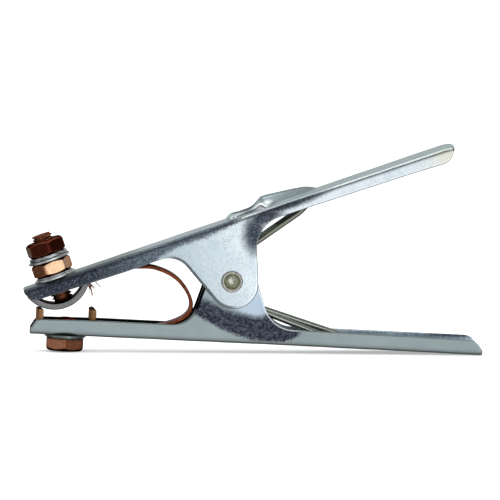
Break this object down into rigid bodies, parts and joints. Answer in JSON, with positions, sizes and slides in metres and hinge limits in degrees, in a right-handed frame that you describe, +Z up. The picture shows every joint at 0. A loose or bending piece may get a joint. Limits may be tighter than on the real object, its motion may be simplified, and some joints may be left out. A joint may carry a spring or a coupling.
{
  "type": "ground clamp",
  "caption": "Spring earth clamp for a welding return cable: stamped channel levers on a rivet, copper contact shoes, a cable stud and a braided strap between the jaws.",
  "frame": {"origin": "on the pivot rivet's axis, half way between the cheeks", "axes": "+X along the lower lever towards the handle ends (jaws at -X), +Y across the clamp towards the rivet's domed head, +Z up, square to the lower lever's web"},
  "size_m": [0.2148, 0.0292, 0.1048],
  "materials": {
    "zinc_upper": "bright zinc plate over stamped steel",
    "zinc_lower": "bright zinc plate over stamped steel, duller",
    "rivet_steel": "zinc plated rivet, yellowed in the hollow",
    "tube_steel": "plain steel tube",
    "spring_steel": "oiled spring wire, grey olive",
    "shoe_copper_upper": "copper plated strip with grey cut edges",
    "copper_thread": "dull copper plated thread",
    "zinc_washer": "bright zinc plate",
    "copper_bright": "bright copper plate",
    "copper_dark": "dark toned copper plate",
    "copper_brown": "brown copper plate",
    "shoe_bronze_lower": "brown bronze, worn at the tips",
    "braid_copper": "woven copper wire, brown"
  },
  "bodies": {
    "lower_jaw": {"lower_lever": "zinc_lower", "lower_contact_shoe": "shoe_bronze_lower", "lower_contact_bolt": "copper_brown", "lower_flat_washer": "zinc_washer", "lower_lock_washer": "zinc_washer", "pivot_spacer_tube": "tube_steel", "torsion_spring": "spring_steel", "copper_braid": "braid_copper"},
    "upper_jaw": {"upper_lever": "zinc_upper", "pivot_rivet": "rivet_steel", "upper_contact_shoe": "shoe_copper_upper", "contact_stud": "copper_thread", "stud_flat_washer": "zinc_washer", "stud_lock_washer": "zinc_washer", "clamp_nut": "copper_bright"},
    "cable_washers": {"cable_flat_washer": "zinc_washer", "cable_lock_washer": "zinc_washer"},
    "cable_nut": {"cable_nut": "copper_dark"}
  },
  "joints": [
    {"name": "jaw_pivot", "type": "hinge", "parent": "lower_jaw", "child": "upper_jaw", "pos_m": [0, 0, 0], "axis": [0, 1, 0], "range_deg": [0, 41], "deforming": ["torsion_spring", "copper_braid"]},
    {"name": "cable_washer_lift", "type": "slide", "parent": "upper_jaw", "child": "cable_washers", "axis": [-0.3649, 0, 0.9311], "range_m": [0, 0.003]},
    {"name": "cable_nut_turn", "type": "hinge", "parent": "cable_washers", "child": "cable_nut", "pos_m": [-0.08687, 0, 0.01117], "axis": [-0.3649, 0, 0.9311], "range_deg": [0, 720]}
  ],
  "couplings": [
    {"joint": "cable_washer_lift", "follows": "cable_nut_turn", "m_per_rad": 0.00023873}
  ]
}
